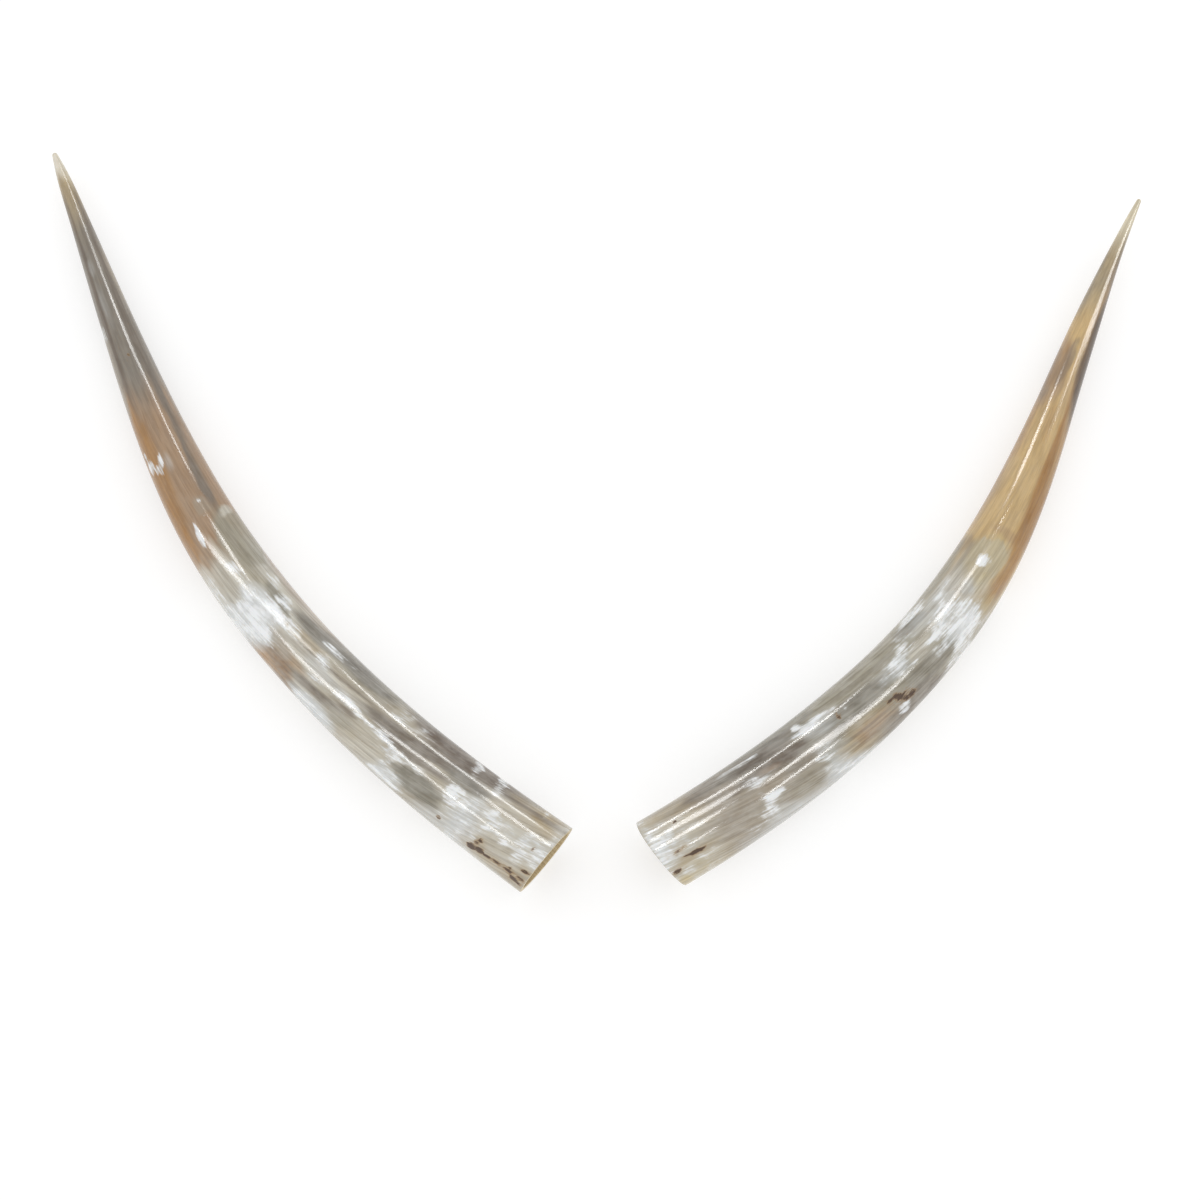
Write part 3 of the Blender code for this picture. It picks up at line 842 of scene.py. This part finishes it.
    # Slide the rows near the base along the horn, so that the sawn end lies in its plane.
    ahead, facing = given["Base direction"], given["Cut normal"]
    from_base = add(tree, VECTOR, worn, given["Base point"], operation="SUBTRACT")
    depth = add(tree, VECTOR, from_base, ahead, operation="DOT_PRODUCT", out="Value")
    along = add(tree, VECTOR, ahead, depth, operation="MULTIPLY")
    across = add(tree, VECTOR, from_base, along, operation="SUBTRACT")
    lean = add(tree, VECTOR, across, facing, operation="DOT_PRODUCT", out="Value")
    slope = add(tree, VECTOR, ahead, facing, operation="DOT_PRODUCT", out="Value")
    slide = add(tree, MATH, lean, slope, operation="DIVIDE")
    slide = add(tree, MATH, slide, keep, operation="MULTIPLY")
    slide = add(tree, MATH, slide, -1.0, operation="MULTIPLY")
    final = add(tree, VECTOR, ahead, slide, worn, operation="MULTIPLY_ADD")

    facts = {
        "grain": add(tree, VECTOR, straight, (MM, MM, MM), operation="MULTIPLY"),
        "place": add(tree, JOIN, distance, around, radius),
        "role": add(tree, JOIN, role, slide),
    }
    for name, value in facts.items():
        feeds = {"Geometry": skin, "Name": name, "Value": value}
        skin = add(tree, "GeometryNodeStoreNamedAttribute", feeds=feeds, domain="POINT", **VECTORS)
    skin = add(tree, "GeometryNodeSetPosition", feeds={"Geometry": skin, "Position": final})
    skin = add(tree, "GeometryNodeMergeByDistance", feeds={"Geometry": skin, "Distance": SEAM_GAP})
    skin = add(tree, "GeometryNodeSetShadeSmooth", feeds={"Geometry": skin, "Shade Smooth": True})
    skin = add(tree, "GeometryNodeRealizeInstances", feeds={"Geometry": skin})
    kept_role = add(tree, SPLIT, add(tree, NAMED, "role", **VECTORS))
    for name, above in (("Outside finish", -1.0), ("Rim finish", RIM_LIMIT), ("Hollow finish", HOLLOW_LIMIT)):
        chosen = add(tree, MATH, kept_role, above, operation="GREATER_THAN")
        feeds = {"Geometry": skin, "Selection": chosen, "Material": given[name]}
        skin = add(tree, "GeometryNodeSetMaterial", feeds=feeds)
    feed(tree, tree.nodes.new("NodeGroupOutput"), {"Skin": skin})
    return tree


def grow_horn(name, line, tree, finishes):
    """Skin one horn and keep the result as a plain mesh at the origin."""
    sections, count = row_points(name + "_sections", line)
    modifier = sections.modifiers.new("skin", "NODES")
    modifier.node_group = tree
    values = {
        "Section count": count,
        "Sides": SIDES,
        "Lobe height": LOBE_HEIGHT,
        "Flute depth": FLUTE_DEPTH,
        "Flute width": FLUTE_WIDTH,
        "Flute length": FLUTE_LENGTH,
        "Wave depth": WAVE_DEPTH,
        "Wave length": WAVE_LENGTH,
        "Base point": line.point(0.0)[0].tolist(),
        "Base direction": line.axes(0.0)[0][0].tolist(),
        "Cut normal": list(cut_normal(line.horn)),
        "Seed": float(line.horn["seed"]),
        "Outside finish": finishes[0],
        "Rim finish": finishes[1],
        "Hollow finish": finishes[2],
    }
    for item in tree.interface.items_tree:
        if item.in_out == "INPUT" and item.name in values:
            modifier[item.identifier] = values[item.name]
    depsgraph = bpy.context.evaluated_depsgraph_get()
    data = bpy.data.meshes.new_from_object(sections.evaluated_get(depsgraph), depsgraph=depsgraph)
    sections.modifiers.remove(modifier)
    bpy.data.objects.remove(sections, do_unlink=True)
    data.name = name + "_sheath"
    return place_object(name + "_sheath", data)


def lattice(points, size, seed):
    """Smooth seeded noise from 0 to 1 at each point, one lump per size."""
    cells = points / np.asarray(size, float)
    corner = np.floor(cells).astype(np.int64)
    part = cells - corner
    part = part * part * (3.0 - 2.0 * part)
    table = np.random.default_rng(seed).random(LATTICE_VALUES)
    total = np.zeros(len(points))
    for steps in itertools.product((0, 1), repeat=3):
        spot = (corner + steps) @ np.array(LATTICE_STRIDES)
        share = np.where(steps, part, 1.0 - part).prod(axis=1)
        total += share * table[spot % LATTICE_VALUES]
    return total


def wandering(grain, lumps, seed, number):
    """Noise around 0 that moves the edges of a mark to and fro."""
    large, factor, small, shift = lumps
    noise = lattice(grain, large, seed * factor + number)
    noise += SMALL_LUMPS * lattice(grain, small, shift + number)
    return 2.0 * noise - (1.0 + SMALL_LUMPS)


def across_angle(across):
    """The angle from the top for a place across the horn; past 1 it runs on round the underside."""
    beyond = max(abs(across) - 1.0, 0.0) * 0.5 * math.pi
    return math.copysign(math.asin(min(abs(across), 1.0)) + beyond, across)


def underside(seed, length):
    """Seeded marks for the side that no one sees."""
    rng = np.random.default_rng(seed)
    marks = []
    for _ in range(UNDERSIDE_MARKS):
        start = rng.uniform(UNDERSIDE_FIRST, length * UNDERSIDE_LAST)
        run = rng.uniform(*UNDERSIDE_RUN)
        across = rng.uniform(*UNDERSIDE_ACROSS)
        spread = rng.uniform(*UNDERSIDE_SPREAD)
        kinds = CLOUDY_KINDS if start < length * UNDERSIDE_CLOUDY else CLEAR_KINDS
        kind = kinds[rng.integers(len(kinds))]
        drift = rng.uniform(*UNDERSIDE_DRIFT)
        marks.append((start, start + run, across - spread, across + spread, drift, kind, *UNDERSIDE_LOOK))
    return marks


def mark_mask(mark, distance, angle, radius, wander_along, wander_around):
    """How strongly a mark shows at each point, with its edges wandering and fading."""
    start, end, side_a, side_b, drift, kind, strength, softness = mark
    wobble = PIT_WOBBLE if kind == "pit" else 1.0
    if kind == "milk":
        softness += MILK_SOFTNESS
    half_run = 0.5 * (end - start)
    angle_a, angle_b = across_angle(side_a), across_angle(side_b)
    half_spread = 0.5 * (angle_b - angle_a)
    along = (distance - 0.5 * (start + end)) / half_run
    middle = 0.5 * (angle_a + angle_b) + 0.5 * drift * np.clip(along, -DRIFT_REACH, DRIFT_REACH)
    around = ((angle - middle + math.pi) % (2.0 * math.pi) - math.pi) / half_spread
    along = along + wobble * wander_along * min(WOBBLE_ALONG / half_run, WOBBLE_LIMIT)
    around += wobble * wander_around * np.minimum(WOBBLE_AROUND / (half_spread * radius), WOBBLE_LIMIT)
    reach = (np.abs(along) ** SQUARENESS + np.abs(around) ** SQUARENESS) ** (1.0 / SQUARENESS)
    edge = np.clip((1.0 + softness - reach) / (2.0 * softness), 0.0, 1.0)
    return strength * edge * edge * (3.0 - 2.0 * edge)


def read_layer(data, name):
    """One of the skin's own layers, as three numbers for each point."""
    values = np.zeros(len(data.vertices) * 3, np.float32)
    data.attributes[name].data.foreach_get("vector", values)
    return values.reshape(-1, 3).astype(float)


def paint(piece, horn, ground, ground_milk, marks):
    """Lay the ground colour and then the marks on the skin, point by point."""
    data = piece.data
    grain = read_layer(data, "grain")
    distance, angle, radius = read_layer(data, "place").T
    slide = read_layer(data, "role")[:, 1]
    distance, radius = (distance + slide) * MM, radius * MM
    angle = angle - math.radians(horn["lean"]) * np.maximum(1.0 - distance / LEAN_FADE, 0.0)
    stops = np.array([stop for stop, _ in ground], float)
    cloudy = np.interp(distance / stops[-1], *CLOUDINESS)
    distance = distance + np.interp(distance, *LEAN_ALONG) * radius * np.cos(angle)
    colours = {key: np.maximum(np.array(srgb(value)) - GLOSS_VEIL, DARKEST) for key, value in PALETTE.items()}
    along_ground = np.array([colours[key] for _, key in ground])
    tint = np.stack([np.interp(distance, stops, channel) for channel in along_ground.T], axis=1)
    milk, pit = np.interp(distance, *ground_milk), np.zeros(len(distance))
    seed = horn["seed"]
    wanderings = [
        [wandering(grain, lumps, seed, number) for lumps in (WANDER_ALONG, WANDER_AROUND)]
        for number in range(WANDERINGS)
    ]
    for number, mark in enumerate([*underside(seed, stops[-1]), *marks]):
        mask = mark_mask(mark, distance, angle, radius, *wanderings[number % WANDERINGS])
        kind = mark[5]
        if kind == "milk":
            milk += (1.0 - milk) * mask
        elif kind == "pit":
            pit = np.maximum(pit, mask)
        else:
            tint += (colours[kind] - tint) * mask[:, None]
            milk *= 1.0 - mask
    colour = data.color_attributes.new("tint", "FLOAT_COLOR", "POINT")
    colour.data.foreach_set("color", np.insert(tint, 3, 1.0, axis=1).astype(np.float32).ravel())
    layer = data.attributes.new("marks", "FLOAT_VECTOR", "POINT")
    layer.data.foreach_set("vector", np.stack([milk, pit, cloudy], axis=1).astype(np.float32).ravel())
    for name in ("place", "role"):
        data.attributes.remove(data.attributes[name])


def finish(name, roughness, ior=1.5):
    """Start a material with what is the same all over."""
    made = bpy.data.materials.new(name)
    made.use_nodes = True
    shader = made.node_tree.nodes["Principled BSDF"]
    feed(made.node_tree, shader, {"Roughness": roughness, "IOR": ior})
    return made, made.node_tree, shader


def stretched_noise(tree, along, around, detail=2.0, rough=0.5):
    """Noise along the fibres: one lump is so many mm along the horn and around it."""
    grain = add(tree, ATTRIBUTE, attribute_name="grain", out="Vector")
    laid = add(tree, VECTOR, grain, (1.0 / along, 1.0 / around, 1.0 / around), operation="MULTIPLY")
    return add(tree, NOISE, feeds={"Vector": laid, "Scale": 1.0, "Detail": detail, "Roughness": rough})


def polished_horn():
    """Scraped and buffed keratin: fibres, milky clouds and growth bands under a wax-bright gloss."""
    made, tree, shader = finish("cow horn keratin, scraped and buffed", roughness=0.12, ior=1.55)
    tint = add(tree, ATTRIBUTE, attribute_name="tint", out="Color")
    marks = add(tree, ATTRIBUTE, attribute_name="marks", out="Vector")
    milk_mark, pit_mark, cloudy = add(tree, SPLIT, marks, out=ALL)
    # Fibres run the length of the horn and give the eye its fine lengthwise streaks.
    coarse = stretched_noise(tree, along=75.0, around=2.6)
    fine = stretched_noise(tree, along=30.0, around=0.8)
    wisps = stretched_noise(tree, along=16.0, around=1.7, detail=3.0, rough=0.6)
    # Clouds are where the layers scatter light. Bands mark the growth, crosswise.
    cloud = stretched_noise(tree, along=20.0, around=9.0, detail=3.0, rough=0.55)
    bands = stretched_noise(tree, along=2.6, around=26.0)

    # The cloudy skull end hides the fibres that show through the clear horn further on.
    fibres = add(tree, MAP_RANGE, milk_mark, 0.05, 0.35, 1.0, 0.30, **SMOOTH)
    clearness = add(tree, MAP_RANGE, cloudy, 0.2, 0.9, 0.45, 0.85, **SMOOTH)
    fibres = add(tree, MATH, fibres, clearness, operation="MULTIPLY")
    streak = add(tree, MAP_RANGE, coarse, 0.36, 0.64, **SMOOTH)
    darker = add(tree, VECTOR, tint, DARK_FIBRE, operation="MULTIPLY")
    lighter = add(tree, VECTOR, tint, PALE_FIBRE, operation="MULTIPLY")
    streaked = add(tree, MIX, feeds={0: streak, 6: darker, 7: lighter}, **COLOURS)
    haze = add(tree, MAP_RANGE, cloud, 0.30, 0.70, 0.0, 0.30, **SMOOTH)
    haze = add(tree, MATH, haze, cloudy, operation="MULTIPLY")
    hair = add(tree, MAP_RANGE, fine, 0.35, 0.65, 0.0, 0.24, **SMOOTH)
    hair = add(tree, MATH, hair, fibres, operation="MULTIPLY")

    # Milk: whitest where clouds, fibres and bands agree, so its edges fray along the fibres.
    unrest = add(tree, MAP_RANGE, cloud, 0.25, 0.75, -0.34, 0.34, **SMOOTH)
    for noise, swing in ((coarse, 0.10), (wisps, 0.30), (bands, 0.05)):
        swung = add(tree, MAP_RANGE, noise, 0.3, 0.7, -swing, swing, **SMOOTH)
        unrest = add(tree, MATH, unrest, swung, operation="ADD")
    calm = add(tree, MAP_RANGE, milk_mark, 0.0, 0.35, 0.35, 1.0, **SMOOTH)
    milk = add(tree, MATH, unrest, calm, milk_mark, operation="MULTIPLY_ADD")
    milk = add(tree, MAP_RANGE, milk, 0.18, 1.04, 0.0, 0.95, **SMOOTH)
    clots = add(tree, MAP_RANGE, coarse, 0.3, 0.7, -0.12, 0.12, **SMOOTH)
    clots = add(tree, MATH, cloud, clots, operation="ADD")
    clots = add(tree, MAP_RANGE, clots, 0.30, 0.66, **SMOOTH)
    white = add(tree, MIX, feeds={0: clots, 6: opaque("#cfd1d0"), 7: opaque("#eff1f2")}, **COLOURS)

    # Flecks at the skull end, ragged and dark brown, each in a paler stain.
    ragged = stretched_noise(tree, along=7.0, around=1.7, detail=3.0, rough=0.7)
    ragged = add(tree, MAP_RANGE, ragged, 0.25, 0.75, -0.32, 0.36, **SMOOTH)
    pit = add(tree, MATH, pit_mark, ragged, operation="ADD")
    stain = add(tree, MAP_RANGE, pit, 0.20, 0.55, 0.0, 0.66, **SMOOTH)
    fleck = add(tree, MAP_RANGE, pit, 0.48, 0.84, 0.0, 0.94, **SMOOTH)

    body = tint
    for share, colour in (
        (fibres, streaked),
        (haze, opaque("#cfccc4")),
        (hair, opaque("#64594c")),
        (milk, white),
        (stain, opaque("#977850")),
        (fleck, opaque("#46301f")),
    ):
        body = add(tree, MIX, feeds={0: share, 6: body, 7: colour}, **COLOURS)
    feed(tree, shader, {
        "Base Color": body,
        "Subsurface Weight": 0.15,
        "Subsurface Radius": (1.0, 0.8, 0.6),
        "Subsurface Scale": 0.0015,
        "Normal": add(tree, BUMP, feeds={"Strength": 0.03, "Distance": 0.00008, "Height": coarse}),
    })
    return made


def sawn_horn():
    """The sawn end: dull, with the sheath's thin layers showing as rings."""
    made, tree, shader = finish("cow horn keratin, sawn across", roughness=0.55)
    grain = add(tree, ATTRIBUTE, attribute_name="grain", out="Vector")
    level = add(tree, VECTOR, grain, (0.0, 1.0, 1.0), operation="MULTIPLY")
    depth = add(tree, VECTOR, level, operation="LENGTH", out="Value")
    layers_per_mm = 2.2
    depth = add(tree, MATH, depth, layers_per_mm, operation="MULTIPLY")
    layers = add(tree, NOISE, feeds={"W": depth, "Scale": 1.0}, noise_dimensions="1D")
    share = add(tree, MAP_RANGE, layers, 0.35, 0.65, **SMOOTH)
    colour = add(tree, MIX, feeds={0: share, 6: opaque("#d9cdb0"), 7: opaque("#bfac86")}, **COLOURS)
    feed(tree, shader, {"Base Color": colour})
    return made


def raw_horn():
    """The hollow: raw keratin, ridged lengthwise where the bony core sat."""
    made, tree, shader = finish("cow horn keratin, raw inside", roughness=0.6)
    ridges = stretched_noise(tree, along=40.0, around=1.8, detail=3.0)
    share = add(tree, MAP_RANGE, ridges, 0.35, 0.65, **SMOOTH)
    colour = add(tree, MIX, feeds={0: share, 6: opaque("#c0ab82"), 7: opaque("#d6c49c")}, **COLOURS)
    relief = add(tree, BUMP, feeds={"Strength": 0.5, "Distance": 0.0004, "Height": ridges})
    feed(tree, shader, {"Base Color": colour, "Normal": relief})
    return made


def white_table():
    """A white table lit softly from below as well, so that shadows stay faint."""
    made, tree, shader = finish("white acrylic table", roughness=0.8)
    feed(tree, shader, {
        "Base Color": opaque("#c4c4c4"),
        "Specular IOR Level": 0.0,
        "Emission Color": opaque("#ffffff"),
        "Emission Strength": TABLE_GLOW,
    })
    return made


def mirror_place(line, distance, across):
    """Where a lamp stands that the camera sees mirrored at this place on the horn."""
    angle = np.linspace(-SEEN_ARC, SEEN_ARC, SEEN_STEPS)
    spot = np.full(SEEN_STEPS, distance)
    points = line.outside(spot, angle)
    along = line.outside(spot + NEAR, angle) - line.outside(spot - NEAR, angle)
    around = line.outside(spot, angle + NEAR_ANGLE) - line.outside(spot, angle - NEAR_ANGLE)
    normal = unit(np.cross(around, along))
    centre = line.outside(spot[:2], np.array([-0.5, 0.5]) * math.pi).mean(axis=0)
    heading = line.heading(distance)
    to_right = unit(np.cross([np.cos(heading), np.sin(heading), 0.0], np.array(VIEW_PLACE) - centre))
    seen_across = (points - centre) @ to_right / line.half_width(distance)
    view = unit(np.array(VIEW_PLACE) - points)
    facing = (normal * view).sum(axis=1)
    nearest = np.argmin(np.where(facing > 0.0, np.abs(seen_across - across), np.inf))
    mirrored = 2.0 * facing[nearest] * normal[nearest] - view[nearest]
    return Vector(np.round(points[nearest] + LAMP_REACH * mirrored, LAMP_DIGITS))


def lamp_width(line, width, distance, across):
    """How wide a lamp is whose image has this width: the rounder the horn, the wider the lamp."""
    slope = math.sqrt(1.0 - min(abs(across), EDGE_LIMIT) ** 2)
    return 2.0 * LAMP_REACH * width / (MM * float(line.half_width(distance)) * slope)


def strip_light(name, first, last, facing, width, radiance):
    """A long thin lamp from one point to another, turned to the place on the horn that mirrors it."""
    run = last - first
    made = bpy.data.lights.new(name, "AREA")
    made.shape = "RECTANGLE"
    made.size = run.length
    made.size_y = width
    made.energy = radiance * math.pi * run.length * width
    holder = place_object(name, made)
    middle = 0.5 * (first + last)
    side = run.normalized()
    across = (facing - middle).cross(side).normalized()
    away = across.cross(side)
    turned = Matrix((side, across, away)).transposed()
    holder.matrix_world = Matrix.Translation(middle) @ turned.to_4x4()
    holder.visible_camera = False
    holder.visible_diffuse = False
    return holder


def light_horn(name, line, piece):
    """Hang the lamps of one horn, each lighting that horn alone."""
    lit = bpy.data.collections.new("lit with " + name)
    lit.objects.link(piece)
    for number, (width, radiance, places) in enumerate(HIGHLIGHTS[name], 1):
        places = [(distance / MM, across) for distance, across in places]
        for (start, across_start), (end, across_end) in zip(places, places[1:]):
            ends = mirror_place(line, start, across_start), mirror_place(line, end, across_end)
            facing = Vector(line.point(0.5 * (start + end))[0])
            widths = lamp_width(line, width, start, across_start), lamp_width(line, width, end, across_end)
            lamp_across = round(0.5 * sum(widths), LAMP_DIGITS)
            lamp = strip_light(f"{name} lamp {number}", *ends, facing, lamp_across, radiance)
            lamp.light_linking.receiver_collection = lit


def studio():
    scene = bpy.context.scene
    scene.view_settings.view_transform = "Standard"
    world = bpy.data.worlds.new("white studio")
    scene.world = world
    world.use_nodes = True
    background = world.node_tree.nodes["Background"]
    feed(world.node_tree, background, {"Color": opaque("#ffffff"), "Strength": WORLD_STRENGTH})
    table_data = bpy.data.meshes.new("floor")
    signs = ((-1, -1), (1, -1), (1, 1), (-1, 1))
    corners = [(TABLE_REACH * x, TABLE_REACH * y, -TABLE_GAP) for x, y in signs]
    table_data.from_pydata(corners, [], [(0, 1, 2, 3)])
    table_data.materials.append(white_table())
    floor = place_object("floor", table_data)


def camera():
    made = bpy.data.cameras.new("camera")
    made.lens = LENS
    made.sensor_width = SENSOR
    made.clip_end = VIEW_END
    holder = place_object("camera", made)
    holder.location = VIEW_PLACE
    holder.rotation_euler = (VIEW_TILT, 0.0, 0.0)
    bpy.context.scene.camera = holder


camera()
finishes = (polished_horn(), sawn_horn(), raw_horn())
tree = skin_tree()
for name, horn in HORNS.items():
    line = CentreLine(horn)
    piece = grow_horn(name, line, tree, finishes)
    paint(piece, horn, *PAINTING[name])
    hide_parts(name)
    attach(piece, "root")
    light_horn(name, line, piece)
studio()
